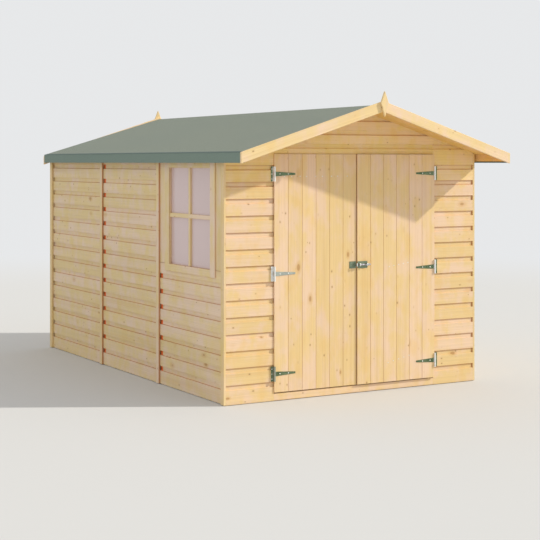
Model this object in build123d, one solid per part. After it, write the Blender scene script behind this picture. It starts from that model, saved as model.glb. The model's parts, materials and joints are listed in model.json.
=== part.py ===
# Wooden garden shed: apex roof, double doors in the front gable, one fixed window.
# Millimetres. +Z is up, the doors face -Y, and the window is in the left wall, at -X.
# The origin is on the ground, in the middle of the four walls.
from build123d import *
import math
import os

# Walls, measured over the outer faces of the boards
shed_width = 2016.0
window_panel_length = 1021.0
middle_panel_length = 1040.0
rear_panel_length = 1115.0
eaves_height = 1645.0
roof_pitch = 16.6
board_thickness = 12.0
panel_joint = 1.5

# Floor
bearer_height = 50.0
bearer_width = 38.0
bearer_count = 9
deck_thickness = 12.0

# Wall frames
stud_width = 38.0
stud_depth = 28.0
rail_height = 34.0
studs_per_side_panel = 3

# Roof
roof_board_thickness = 12.0
felt_thickness = 3.0
side_overhang = 68.0
front_overhang = 332.0
rear_overhang = 16.0
purlin_width = 28.0
purlin_depth = 45.0
purlin_from_ridge = 484.0
ridge_beam_depth = 70.0
eaves_board_thickness = 28.0
eaves_flap_height = 67.0

# Barge boards and finials. The barges are steeper than the roof, so they rise over it to the apex.
barge_thickness = 16.0
barge_depth = 68.0
barge_pitch = 17.7
barge_end_rise = 1.0
rear_barge_drop = 12.0
finial_width = 62.0
finial_thickness = 16.0
finial_above_barge = 64.0
finial_height = 171.0
finial_waist = 79.0

# Cover strips over the panel joints and the corners
strip_width = 44.0
strip_thickness = 13.0
corner_strip_thickness = 16.0

# Window: the glass seen between its casing, set in the window panel by its margins
window_front_margin = 210.0
window_rear_margin = 186.0
window_sill_height = 868.0
window_height = 672.0
casing_stile_width = 70.0
casing_rail_height = 50.0
casing_thickness = 10.0
glass_thickness = 4.0
glass_lap = 10.0

# Doorway and doors
doorway_width = 1302.0
doorway_head = 1636.0
door_foot = 56.0
door_gap = 6.0
door_board_thickness = 12.0
left_door_proud = 8.0
right_door_proud = 18.0
door_stop_lap = 32.0
door_head_height = 76.0
ledge_width = 90.0
ledge_thickness = 22.0
ledge_end_clearance = 12.0
brace_width = 70.0
sill_height = 46.0
sill_ground_gap = 4.0

# Hinges: a tapered strap on the leaf, a plate on the wall, a pin through the knuckles
hinge_heights = (181.0, 841.0, 1501.0)
hinge_plate_height = 98.0
hinge_plate_width = 26.0
hinge_metal = 2.5
hinge_pin_radius = 3.0
hinge_knuckle_radius = 6.0
hinge_knuckle_height = 31.0
hinge_running_gap = 0.4
strap_reach = 160.0
strap_root_width = 31.0
strap_tip_width = 12.0

# Pad bolt across the meeting leaves
bolt_height = 878.0
bolt_plate_width = 74.0
bolt_plate_height = 47.0
bolt_plate_from_edge = 1.0
bolt_metal = 2.5
bolt_radius = 6.0
bolt_length = 92.0
bolt_slide_gap = 0.5
keep_slack = 1.5
bolt_setback = 10.5
staple_length = 10.0
staple_wall = 3.0
keep_width = 52.0
keep_from_edge = 6.0
knob_radius = 5.0
knob_length = 12.0

os.makedirs("parts", exist_ok=True)

# Places worked out from the sizes above
shed_length = window_panel_length + middle_panel_length + rear_panel_length
half_width = shed_width / 2
front_face = -shed_length / 2
rear_face = shed_length / 2
slope = math.tan(math.radians(roof_pitch))
lean = math.cos(math.radians(roof_pitch))
deck_top = bearer_height + deck_thickness
wall_foot = sill_ground_gap
roof_edge = half_width + side_overhang - felt_thickness
roof_front = front_face - front_overhang
roof_rear = rear_face + rear_overhang
frame_face = half_width - board_thickness
door_edge = doorway_width / 2


def under_roof(x):
    """Height of the roof boards' underside at a distance x from the middle."""
    return eaves_height + slope * (half_width - abs(x))


def upright(points, y_low, y_high):
    """A solid with an outline of (x, z) points, from y_low to y_high."""
    outline = Polygon(*points, align=None)
    plane = Plane(origin=(0, y_high, 0), x_dir=(1, 0, 0), z_dir=(0, -1, 0))
    return extrude(plane * outline, y_high - y_low)


def block(x_range, y_range, z_range):
    """A square-edged timber between two places on each axis."""
    size = [high - low for low, high in (x_range, y_range, z_range)]
    middle = [(low + high) / 2 for low, high in (x_range, y_range, z_range)]
    return Pos(*middle) * Box(*size)


def mirrored(solids):
    """The same solids on the other side of the shed."""
    return [mirror(solid, Plane.YZ) for solid in solids]


def save(name, solids):
    piece = solids[0] if len(solids) == 1 else Compound(children=list(solids))
    piece.label = name
    export_step(piece, f"parts/{name}.step")


# Floor: bearers across the shed, with one boarded deck on top
bearer_run = shed_length - 2 * board_thickness - bearer_width
bearer_step = bearer_run / (bearer_count - 1)
bearer_start = front_face + board_thickness
bearers = []
for index in range(bearer_count):
    y = bearer_start + index * bearer_step
    bearers.append(block((-frame_face, frame_face), (y, y + bearer_width), (0, bearer_height)))
save("floor_bearers", bearers)

deck = block(
    (-frame_face, frame_face),
    (front_face + board_thickness, rear_face - board_thickness),
    (bearer_height, deck_top),
)
save("floor_deck", [deck])

sill = block(
    (-door_edge, door_edge),
    (front_face, front_face + board_thickness),
    (sill_ground_gap, sill_height),
)
save("door_sill", [sill])

# Gable walls: boards up to the slope of the roof
def gable_outline(x_low, x_high, z_low):
    """The (x, z) outline of gable boards between two places, up to the roof."""
    points = [(x_low, z_low), (x_high, z_low), (x_high, under_roof(x_high))]
    if x_low < 0 < x_high:
        points.append((0, under_roof(0)))
    points.append((x_low, under_roof(x_low)))
    return points


front_y = (front_face, front_face + board_thickness)
rear_y = (rear_face - board_thickness, rear_face)
front_left = upright(gable_outline(-half_width, -door_edge, wall_foot), *front_y)
save("front_wall_left", [front_left])
save("front_wall_right", mirrored([front_left]))
save("front_gable", [upright(gable_outline(-door_edge, door_edge, doorway_head), *front_y)])
rear_right = upright(gable_outline(panel_joint / 2, half_width, wall_foot), *rear_y)
save("rear_wall_panels", mirrored([rear_right]) + [rear_right])


# Side walls: boards between the gable walls, with their tops cut to the roof
def side_boards(y_low, y_high, z_low, z_high=None):
    """Boards of the left wall, up to z_high or else up to the roof."""
    outer_top = under_roof(half_width) if z_high is None else z_high
    inner_top = under_roof(frame_face) if z_high is None else z_high
    points = [
        (-half_width, z_low),
        (-frame_face, z_low),
        (-frame_face, inner_top),
        (-half_width, outer_top),
    ]
    return upright(points, y_low, y_high)


first_joint = front_face + window_panel_length
second_joint = first_joint + middle_panel_length
panel_ends = [
    (front_face + board_thickness, first_joint - panel_joint / 2),
    (first_joint + panel_joint / 2, second_joint - panel_joint / 2),
    (second_joint + panel_joint / 2, rear_face - board_thickness),
]
plain_panels = [side_boards(low, high, wall_foot) for low, high in panel_ends]
save("right_wall_panels", mirrored(plain_panels))
save("left_wall_panels", plain_panels[1:])

# Window panel: boards below, beside and above the glass
glass_front = front_face + window_front_margin
glass_rear = first_joint - window_rear_margin
glass_top = window_sill_height + window_height
opening_y = (glass_front, glass_rear)
panel_low, panel_high = panel_ends[0]
save("window_wall_below", [side_boards(panel_low, panel_high, wall_foot, window_sill_height)])
beside_window = [
    side_boards(panel_low, glass_front, window_sill_height),
    side_boards(glass_rear, panel_high, window_sill_height),
]
save("window_wall_beside", beside_window)
save("window_wall_above", [side_boards(*opening_y, glass_top)])

# Window casing outside the boards, and the pane behind them
casing_x = (-half_width - casing_thickness, -half_width)
casing_low = window_sill_height - casing_rail_height
casing_top = glass_top + casing_rail_height
stiles = [
    block(casing_x, (glass_front - casing_stile_width, glass_front), (casing_low, casing_top)),
    block(casing_x, (glass_rear, glass_rear + casing_stile_width), (casing_low, casing_top)),
]
save("window_stiles", stiles)
rails = [
    block(casing_x, opening_y, (casing_low, window_sill_height)),
    block(casing_x, opening_y, (glass_top, casing_top)),
]
save("window_rails", rails)
pane_y = (glass_front - glass_lap, glass_rear + glass_lap)
pane_z = (window_sill_height - glass_lap, glass_top + glass_lap)
pane = block((-frame_face, -frame_face + glass_thickness), pane_y, pane_z)
save("window_glass", [pane])

# Wall frames: rails on the deck and under the roof, studs between them
rail_inner = frame_face - stud_depth
side_rail_y = (front_face + board_thickness, rear_face - board_thickness)
top_rail_high = under_roof(frame_face)
top_rail_low = top_rail_high - rail_height
left_rails = [
    block((-frame_face, -rail_inner), side_rail_y, (deck_top, deck_top + rail_height)),
    block((-frame_face, -rail_inner), side_rail_y, (top_rail_low, top_rail_high)),
]
save("side_wall_rails", left_rails + mirrored(left_rails))

stud_z = (deck_top + rail_height, top_rail_low)
right_studs = []
for low, high in panel_ends:
    pitch = (high - low - stud_width) / (studs_per_side_panel - 1)
    for index in range(studs_per_side_panel):
        y = low + index * pitch
        right_studs.append(block((rail_inner, frame_face), (y, y + stud_width), stud_z))
left_studs = []
for stud in mirrored(right_studs):
    box = stud.bounding_box()
    if box.max.Y < pane_y[0] or box.min.Y > pane_y[1]:
        left_studs.append(stud)
save("side_wall_studs", right_studs + left_studs)

window_cills = [
    block(
        (-frame_face, -rail_inner),
        (panel_low + stud_width, panel_high - stud_width),
        (pane_z[0] - rail_height, pane_z[0]),
    )
]
save("window_cill_rail", window_cills)

front_frame_y = (front_face + board_thickness, front_face + board_thickness + stud_depth)
rear_frame_y = (rear_face - board_thickness - stud_depth, rear_face - board_thickness)


def gable_stud(x_low, x_high, y_range, z_low):
    """A stud behind the gable boards, with its top cut to the roof."""
    return upright(gable_outline(x_low, x_high, z_low), *y_range)


post_inner = door_edge - door_stop_lap
left_post = gable_stud(-post_inner - stud_width, -post_inner, front_frame_y, deck_top)
save("door_posts", [left_post] + mirrored([left_post]))

end_rail_z = (deck_top, deck_top + rail_height)
rear_rail = block((-rail_inner, rail_inner), rear_frame_y, end_rail_z)
front_rail = block((-rail_inner, -post_inner - stud_width), front_frame_y, end_rail_z)
save("end_wall_rails", [rear_rail, front_rail] + mirrored([front_rail]))

rear_stud_places = (rail_inner - stud_width, rail_inner / 2, stud_width / 2)
rear_studs = [
    gable_stud(x, x + stud_width, rear_frame_y, deck_top + rail_height) for x in rear_stud_places
]
front_stud = gable_stud(
    rail_inner - stud_width, rail_inner, front_frame_y, deck_top + rail_height
)
end_studs = rear_studs + [front_stud]
save("end_wall_studs", end_studs + mirrored(end_studs))

head_low = doorway_head - door_stop_lap
head = block((-post_inner, post_inner), front_frame_y, (head_low, head_low + door_head_height))
save("door_head", [head])

# Cover strips on the side walls, over the joints and the four corners
strip_top = under_roof(half_width + corner_strip_thickness)
strips = []
for joint in (first_joint, second_joint):
    strip_x = (half_width, half_width + strip_thickness)
    strip_y = (joint - strip_width / 2, joint + strip_width / 2)
    strips.append(block(strip_x, strip_y, (wall_foot, strip_top)))
corner_x = (half_width, half_width + corner_strip_thickness)
corner_strips = [
    block(corner_x, (front_face, front_face + strip_width), (wall_foot, strip_top)),
    block(corner_x, (rear_face - strip_width, rear_face), (wall_foot, strip_top)),
]
save("joint_strips", strips + mirrored(strips))
save("corner_strips", corner_strips + mirrored(corner_strips))


# Roof: boards, felt, purlins, ridge beam and eaves boards
def roof_layer(low, high, x_low, x_high):
    """The (x, z) outline of a sloped layer, low to high above the boards' underside."""
    return [
        (x_low, under_roof(x_low) + low),
        (x_high, under_roof(x_high) + low),
        (x_high, under_roof(x_high) + high),
        (x_low, under_roof(x_low) + high),
    ]


board_rise = roof_board_thickness / lean
felt_rise = board_rise + felt_thickness / lean
roof_y = (roof_front + barge_thickness, roof_rear - barge_thickness)
right_boards = upright(roof_layer(0, board_rise, 0, roof_edge), *roof_y)
save("roof_boards_right", [right_boards])
save("roof_boards_left", mirrored([right_boards]))
right_felt = upright(roof_layer(board_rise, felt_rise, 0, roof_edge), *roof_y)
save("roof_felt_right", [right_felt])
save("roof_felt_left", mirrored([right_felt]))

flap_top = under_roof(roof_edge) + felt_rise
flap_low = flap_top - eaves_flap_height
flap = block((roof_edge, roof_edge + felt_thickness), roof_y, (flap_low, flap_top))
save("eaves_felt", [flap] + mirrored([flap]))

eaves_inner = roof_edge - eaves_board_thickness
eaves_points = [
    (eaves_inner, flap_low),
    (roof_edge, flap_low),
    (roof_edge, under_roof(roof_edge)),
    (eaves_inner, under_roof(eaves_inner)),
]
eaves_board = upright(eaves_points, *roof_y)
save("eaves_boards", [eaves_board] + mirrored([eaves_board]))

inside_y = (front_face + board_thickness, rear_face - board_thickness)
between_frames_y = (front_frame_y[1], rear_frame_y[0])
purlin_outer = purlin_from_ridge + purlin_width
purlin_low = under_roof(purlin_outer) - purlin_depth
purlin_points = [
    (purlin_from_ridge, purlin_low),
    (purlin_outer, purlin_low),
    (purlin_outer, under_roof(purlin_outer)),
    (purlin_from_ridge, under_roof(purlin_from_ridge)),
]
purlin = upright(purlin_points, *between_frames_y)
save("roof_purlins", [purlin] + mirrored([purlin]))

ridge_half = purlin_width / 2
ridge_low = under_roof(0) - ridge_beam_depth
ridge_points = [
    (-ridge_half, ridge_low),
    (ridge_half, ridge_low),
    (ridge_half, under_roof(ridge_half)),
    (0, under_roof(0)),
    (-ridge_half, under_roof(ridge_half)),
]
save("ridge_beam", [upright(ridge_points, *inside_y)])

# Barge boards across both ends of the roof, and a pointed finial over each meeting
barge_end = roof_edge + felt_thickness
barge_slope = math.tan(math.radians(barge_pitch))
barge_upright_depth = barge_depth / math.cos(math.radians(barge_pitch))
barge_end_top = under_roof(barge_end) + felt_rise + barge_end_rise
front_apex = barge_end_top + barge_slope * barge_end
rear_apex = front_apex - rear_barge_drop


def barge(apex, y_low, y_high):
    """The right barge board, with its upper edge running down from the apex."""
    end_top = apex - barge_slope * barge_end
    points = [
        (0, apex - barge_upright_depth),
        (barge_end, end_top - barge_upright_depth),
        (barge_end, end_top),
        (0, apex),
    ]
    return upright(points, y_low, y_high)


right_barges = [
    barge(front_apex, roof_front, roof_front + barge_thickness),
    barge(rear_apex, roof_rear - barge_thickness, roof_rear),
]
save("barge_boards_right", right_barges)
save("barge_boards_left", mirrored(right_barges))


def finial(apex, y_low, y_high):
    """A four-pointed board standing over the apex of two barges."""
    tip = apex + finial_above_barge
    points = [
        (0, tip - finial_height),
        (finial_width / 2, tip - finial_waist),
        (0, tip),
        (-finial_width / 2, tip - finial_waist),
    ]
    return upright(points, y_low, y_high)


finials = [
    finial(front_apex, roof_front - finial_thickness, roof_front),
    finial(rear_apex, roof_rear, roof_rear + finial_thickness),
]
save("finials", finials)

# Doors: each leaf is worked out on the left and mirrored for the right
leaf_outer = -door_edge + door_gap / 2
leaf_inner = -door_gap / 2
leaf_top = doorway_head - door_gap
ledge_outer = -post_inner + ledge_end_clearance
ledge_inner = leaf_inner - ledge_end_clearance


def leaf_pieces(proud):
    """Boards, ledges, braces and straps of the left leaf, proud of the wall face."""
    face = front_face - proud
    back = face + door_board_thickness
    boards = block((leaf_outer, leaf_inner), (face, back), (door_foot, leaf_top))
    ledges = []
    for height in hinge_heights:
        ledge_z = (height - ledge_width / 2, height + ledge_width / 2)
        ledge_y = (back, back + ledge_thickness)
        ledges.append(block((ledge_outer, ledge_inner), ledge_y, ledge_z))
    braces = []
    for low, high in zip(hinge_heights, hinge_heights[1:]):
        z_low = low + ledge_width / 2
        z_high = high - ledge_width / 2
        points = [
            (ledge_outer, z_low),
            (ledge_outer + brace_width, z_low),
            (ledge_inner, z_high),
            (ledge_inner - brace_width, z_high),
        ]
        braces.append(upright(points, back, back + ledge_thickness))
    return boards, ledges, braces


def hinge_pieces(proud):
    """Straps on the left leaf and plates with pins on the wall beside it."""
    face = front_face - proud
    pin_y = face - hinge_knuckle_radius
    pin_x = -door_edge
    straps = []
    plates = []
    bore = hinge_pin_radius + hinge_running_gap
    for height in hinge_heights:
        half_root = strap_root_width / 2
        half_tip = strap_tip_width / 2
        strap_outline = [
            (pin_x, height - half_root),
            (pin_x + strap_reach, height - half_tip),
            (pin_x + strap_reach, height + half_tip),
            (pin_x, height + half_root),
        ]
        strap = upright(strap_outline, face - hinge_metal, face)
        knuckle = Pos(pin_x, pin_y, height) * Cylinder(hinge_knuckle_radius, hinge_knuckle_height)
        hole = Pos(pin_x, pin_y, height) * Cylinder(bore, hinge_plate_height)
        straps.append(strap + knuckle - hole)

        half_plate = hinge_plate_height / 2
        plate_x = (pin_x - hinge_plate_width, pin_x - hinge_running_gap)
        plate_z = (height - half_plate, height + half_plate)
        plate = block(plate_x, (front_face - hinge_metal, front_face), plate_z)
        pin = Pos(pin_x, pin_y, height) * Cylinder(hinge_pin_radius, hinge_plate_height)
        plate = plate + pin
        for side in (-1, 1):
            inner = height + side * (hinge_knuckle_height / 2 + hinge_running_gap)
            outer = height + side * half_plate
            span = abs(outer - inner)
            middle = (inner + outer) / 2
            plate += Pos(pin_x, pin_y, middle) * Cylinder(hinge_knuckle_radius, span)
            web_z = (min(inner, outer), max(inner, outer))
            web_x = (pin_x - hinge_knuckle_radius, pin_x - hinge_knuckle_radius + hinge_metal)
            plate += block(web_x, (pin_y, front_face), web_z)
        plates.append(plate)
    return straps, plates


left_boards, left_ledges, left_braces = leaf_pieces(left_door_proud)
left_straps, left_plates = hinge_pieces(left_door_proud)
save("door_left_boards", [left_boards])
save("door_left_ledges", left_ledges)
save("door_left_braces", left_braces)
save("door_left_straps", left_straps)
save("hinge_plates_left", left_plates)

right_leaf_boards, right_ledges, right_braces = leaf_pieces(right_door_proud)
right_straps, right_plates = hinge_pieces(right_door_proud)
save("door_right_boards", mirrored([right_leaf_boards]))
save("door_right_ledges", mirrored(right_ledges))
save("door_right_braces", mirrored(right_braces))
save("door_right_straps", mirrored(right_straps))
save("hinge_plates_right", mirrored(right_plates))

# Pad bolt: a plate with two staples on the right leaf, a rod, and a keep on the left leaf
right_leaf_face = front_face - right_door_proud
left_leaf_face = front_face - left_door_proud
guide_room = bolt_radius + bolt_slide_gap
keep_room = bolt_radius + keep_slack
bolt_y = right_leaf_face - bolt_metal - guide_room
plate_low_x = -leaf_inner + bolt_plate_from_edge
bolt_plate_x = (plate_low_x, plate_low_x + bolt_plate_width)
bolt_z = (bolt_height - bolt_plate_height / 2, bolt_height + bolt_plate_height / 2)


def staple(x_low, back_y, room):
    """A strap bent over the bolt, with its two legs reaching back to their plate."""
    x_range = (x_low, x_low + staple_length)
    outer = room + staple_wall
    strap = block(
        x_range, (bolt_y - outer, back_y), (bolt_height - outer, bolt_height + outer)
    )
    bends = strap.faces().sort_by(Axis.Y)[0].edges().filter_by(Axis.X)
    strap = fillet(bends, staple_wall)
    return strap - block(
        x_range,
        (bolt_y - room, back_y),
        (bolt_height - room, bolt_height + room),
    )


bolt_plate = block(bolt_plate_x, (right_leaf_face - bolt_metal, right_leaf_face), bolt_z)
staples = [bolt_plate_x[0] + bolt_metal, bolt_plate_x[1] - bolt_metal - staple_length]
for x in staples:
    bolt_plate += staple(x, right_leaf_face - bolt_metal, guide_room)
save("bolt_plate", [bolt_plate])

rod_x = staples[0] + bolt_length / 2
rod = Pos(rod_x, bolt_y, bolt_height) * Rotation(0, 90, 0) * Cylinder(bolt_radius, bolt_length)
knob_x = staples[1] - bolt_setback
knob_middle = bolt_y - bolt_radius - knob_length / 2 + bolt_metal
knob = Pos(knob_x, knob_middle, bolt_height) * Rotation(90, 0, 0) * Cylinder(knob_radius, knob_length)
save("bolt_rod", [rod + knob])

keep_high_x = leaf_inner - keep_from_edge
keep_x = (keep_high_x - keep_width, keep_high_x)
keep = block(keep_x, (left_leaf_face - bolt_metal, left_leaf_face), bolt_z)
keep += staple(keep_high_x - staple_length, left_leaf_face - bolt_metal, keep_room)
save("bolt_keep", [keep])
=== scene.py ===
import json
import math
import random

import bmesh
import bpy
from mathutils import Matrix, Vector


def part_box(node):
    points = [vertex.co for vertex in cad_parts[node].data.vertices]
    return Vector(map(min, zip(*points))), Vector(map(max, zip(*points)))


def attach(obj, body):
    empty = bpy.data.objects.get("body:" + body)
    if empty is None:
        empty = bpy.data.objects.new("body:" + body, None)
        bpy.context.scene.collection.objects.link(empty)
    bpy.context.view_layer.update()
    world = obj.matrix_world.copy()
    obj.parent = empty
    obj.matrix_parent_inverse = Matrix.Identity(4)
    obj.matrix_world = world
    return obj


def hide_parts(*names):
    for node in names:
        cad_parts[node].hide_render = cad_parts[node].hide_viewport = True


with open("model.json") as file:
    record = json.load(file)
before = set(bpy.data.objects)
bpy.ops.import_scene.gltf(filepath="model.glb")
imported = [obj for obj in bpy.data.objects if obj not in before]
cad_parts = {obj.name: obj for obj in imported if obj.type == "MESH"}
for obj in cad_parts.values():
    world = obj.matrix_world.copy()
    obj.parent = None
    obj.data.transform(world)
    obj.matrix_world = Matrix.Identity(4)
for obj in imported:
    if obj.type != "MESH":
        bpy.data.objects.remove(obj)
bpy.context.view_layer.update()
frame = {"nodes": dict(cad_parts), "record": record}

# Camera: it stands at eye height off the left front corner and looks level, so uprights stay upright.
# The shift only slides the level view down to take in the ground.
camera_place = (-5.0422, -9.2061, 1.5807)
turn_to_the_right = 29.798
film_width = 36.0
lens_length = 88.80
slide_down = 0.2002
bpy.ops.object.select_all(action="DESELECT")
bpy.ops.object.camera_add(
    location=camera_place, rotation=(math.radians(90), 0, math.radians(-turn_to_the_right))
)
camera = bpy.context.object
camera.name = "camera"
camera.data.sensor_width = film_width
camera.data.lens = lens_length
camera.data.shift_y = -slide_down
bpy.context.scene.camera = camera


# Studio: a pale floor that keeps the shadow and fades into a pale background, an even white sky,
# and one broad low key light from the right of the doors.
def wired(tree, kind, inputs, output=0, **settings):
    """Add a node, feed its inputs with sockets or plain values, and give back one of its outputs."""
    node = tree.nodes.new(kind)
    for setting, value in settings.items():
        setattr(node, setting, value)
    for socket, value in inputs.items():
        if isinstance(value, bpy.types.NodeSocket):
            tree.links.new(value, node.inputs[socket])
        else:
            node.inputs[socket].default_value = value
    return node.outputs[output]


def empty_material(name):
    """A new material with only its output node, and its tree."""
    material = bpy.data.materials.new(name)
    material.use_nodes = True
    material.node_tree.nodes.clear()
    return material, material.node_tree


def show(tree, shader):
    """Send a shader to the material's output."""
    output = tree.nodes.new("ShaderNodeOutputMaterial")
    tree.links.new(shader, output.inputs["Surface"])


def maths(tree, operation, first, second):
    """Two values put through one operation."""
    return wired(tree, "ShaderNodeMath", {0: first, 1: second}, operation=operation)


def soft_step(tree, value, low, high, to_low=0.0, to_high=1.0):
    """A value eased from one level to another between two places."""
    return wired(
        tree,
        "ShaderNodeMapRange",
        {"Value": value, "From Min": low, "From Max": high, "To Min": to_low, "To Max": to_high},
        interpolation_type="SMOOTHSTEP",
    )


bpy.context.scene.view_settings.view_transform = "Standard"
backdrop_colour = (0.80, 0.81, 0.82, 1)
floor_colour = (0.66, 0.66, 0.65, 1)
floor_radius = 60
fade_start = 6.0
fade_end = 13.0
sky_strength = 0.72
key_strength = 2.7
key_softness = 1.3
key_colour = (1.0, 0.965, 0.90)
key_place = (6, -4, 5)
sun_travel = Vector((-0.757, 0.404, -0.538))

bpy.ops.mesh.primitive_circle_add(vertices=96, radius=floor_radius, fill_type="NGON")
studio_floor = bpy.context.object
studio_floor.name = "studio_floor"
floor_paint, tree = empty_material("studio_floor_paint")
place = wired(tree, "ShaderNodeTexCoord", {}, output="Object")
reach = wired(tree, "ShaderNodeVectorMath", {0: place}, output="Value", operation="LENGTH")
fade = soft_step(tree, reach, fade_start, fade_end)
matt = wired(tree, "ShaderNodeBsdfDiffuse", {"Color": floor_colour})
glow = wired(tree, "ShaderNodeEmission", {"Color": backdrop_colour, "Strength": 1.0})
show(tree, wired(tree, "ShaderNodeMixShader", {0: fade, 1: matt, 2: glow}))
studio_floor.data.materials.append(floor_paint)

world = bpy.data.worlds.new("studio_sky")
bpy.context.scene.world = world
world.use_nodes = True
tree = world.node_tree
tree.nodes.clear()
light_path = tree.nodes.new("ShaderNodeLightPath").outputs
seen = maths(tree, "MAXIMUM", light_path["Is Camera Ray"], light_path["Is Glossy Ray"])
seen = maths(tree, "MAXIMUM", seen, light_path["Is Transmission Ray"])
sky = wired(tree, "ShaderNodeBackground", {"Color": (1, 1, 1, 1), "Strength": sky_strength})
backdrop = wired(tree, "ShaderNodeBackground", {"Color": backdrop_colour, "Strength": 1.0})
shown = wired(tree, "ShaderNodeMixShader", {0: seen, 1: sky, 2: backdrop})
world_output = tree.nodes.new("ShaderNodeOutputWorld")
tree.links.new(shown, world_output.inputs["Surface"])

key_turn = sun_travel.to_track_quat("-Z", "Y").to_euler()
bpy.ops.object.light_add(type="SUN", location=key_place, rotation=key_turn)
key_light = bpy.context.object
key_light.name = "key_light"
key_light.data.energy = key_strength
key_light.data.angle = math.radians(key_softness)
key_light.data.color = key_colour


# Floor bearers and sill: sawn pine battens on the ground carry the deck, and a planed sill board runs
# under the doors. Every timber of the shed gets its figure from the grain laid along it here.
def alone(piece):
    """Select this piece and nothing else."""
    bpy.ops.object.select_all(action="DESELECT")
    piece.select_set(True)
    bpy.context.view_layer.objects.active = piece


def whole_copy(node, name):
    """A copy of a node's solids with their triangles joined into whole faces."""
    weld_distance = 0.00002
    flat_within = math.radians(0.4)
    piece = bpy.data.objects.new(name, frame["nodes"][node].data.copy())
    piece.data.materials.clear()
    bpy.context.scene.collection.objects.link(piece)
    alone(piece)
    bpy.ops.object.mode_set(mode="EDIT")
    bpy.ops.mesh.select_all(action="SELECT")
    bpy.ops.mesh.remove_doubles(threshold=weld_distance)
    bpy.ops.mesh.dissolve_limited(angle_limit=flat_within)
    bpy.ops.mesh.customdata_custom_splitnormals_clear()
    bpy.ops.object.mode_set(mode="OBJECT")
    return piece


def ease_edges(piece, width):
    """Take the sharp arris off every edge."""
    sharp_angle = math.radians(40)
    alone(piece)
    bevel = piece.modifiers.new("arris", "BEVEL")
    bevel.width = width
    bevel.segments = 1
    bevel.limit_method = "ANGLE"
    bevel.angle_limit = sharp_angle
    bpy.ops.object.modifier_apply(modifier="arris")


def store(piece, name, shares):
    """Keep one number for each point, under the name that the finishes read."""
    piece.data.attributes.new(name, "FLOAT", "POINT").data.foreach_set("value", shares)


def timbers_of(mesh):
    """The points of each separate timber in a mesh by its first point, and what finds that point."""
    leader = list(range(len(mesh.vertices)))

    def first(point):
        while leader[point] != point:
            leader[point] = leader[leader[point]]
            point = leader[point]
        return point

    for edge in mesh.edges:
        start, end = (first(point) for point in edge.vertices)
        leader[max(start, end)] = min(start, end)
    timbers = {}
    for point in range(len(mesh.vertices)):
        timbers.setdefault(first(point), []).append(point)
    return timbers, first


grain_chance = random.Random(41)
log_reach = 40


def lay_grain(piece, along=None):
    """Store each point's place along, across and through its timber, and a number for the timber.

    Each timber is sawn from another place in the log, up to log_reach away.
    """
    mesh = piece.data
    timbers, first = timbers_of(mesh)
    points = mesh.vertices
    longest = {}
    for edge in mesh.edges:
        start, end = edge.vertices
        run = points[end].co - points[start].co
        key = first(start)
        if key not in longest or run.length > longest[key].length:
            longest[key] = run
    widest = {}
    for face in mesh.polygons:
        key = first(face.vertices[0])
        if key not in widest or face.area > widest[key][0]:
            widest[key] = (face.area, face.normal.copy())
    grain = [0.0] * (3 * len(points))
    number = [0.0] * len(points)
    for key, members in timbers.items():
        run = Vector(along) if along else longest[key]
        run = run.normalized()
        face = widest[key][1]
        through = (face - run * face.dot(run)).normalized()
        across = through.cross(run)
        start = Vector([grain_chance.uniform(-log_reach, log_reach) for _ in range(3)])
        tone = grain_chance.random()
        for member in members:
            co = points[member].co
            spot = (co.dot(run) + start.x, co.dot(across) + start.y, co.dot(through) + start.z)
            grain[3 * member : 3 * member + 3] = spot
            number[member] = tone
    mesh.attributes.new("grain", "FLOAT_VECTOR", "POINT").data.foreach_set("vector", grain)
    store(piece, "timber", number)
    if "recess" not in mesh.attributes:
        mesh.attributes.new("recess", "FLOAT", "POINT")


def blended(tree, share, first, second, blend_type="MIX"):
    """Two colours mixed by a share."""
    return wired(
        tree,
        "ShaderNodeMix",
        {0: share, 6: first, 7: second},
        output=2,
        data_type="RGBA",
        blend_type=blend_type,
    )


def stretched(tree, vector, scale):
    """A place with each of its three measures scaled."""
    return wired(tree, "ShaderNodeVectorMath", {0: vector, 1: scale}, operation="MULTIPLY")


def clouds(tree, vector, scale, detail=2.0):
    """Soft noise, stretched by its scale along, across and through the grain."""
    spread = stretched(tree, vector, scale)
    return wired(tree, "ShaderNodeTexNoise", {"Vector": spread, "Scale": 1.0, "Detail": detail})


def knot_field(tree, vector, scale, share, size):
    """Knots scattered through the timber: how deep a point is inside one, and how near one is."""
    spread = stretched(tree, vector, scale)
    cells = tree.nodes.new("ShaderNodeTexVoronoi")
    cells.inputs["Scale"].default_value = 1.0
    tree.links.new(spread, cells.inputs["Vector"])
    split = tree.nodes.new("ShaderNodeSeparateColor")
    tree.links.new(cells.outputs["Color"], split.inputs[0])
    present = maths(tree, "GREATER_THAN", split.outputs[0], 1.0 - share)
    radius = soft_step(tree, split.outputs[1], 0.0, 1.0, size * 0.55, size * 1.25)
    ratio = maths(tree, "DIVIDE", cells.outputs["Distance"], radius)
    core = maths(tree, "MULTIPLY", soft_step(tree, ratio, 0.75, 1.15, 1.0, 0.0), present)
    halo = maths(tree, "MULTIPLY", soft_step(tree, ratio, 0.9, 2.6, 1.0, 0.0), present)
    return core, halo


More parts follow.
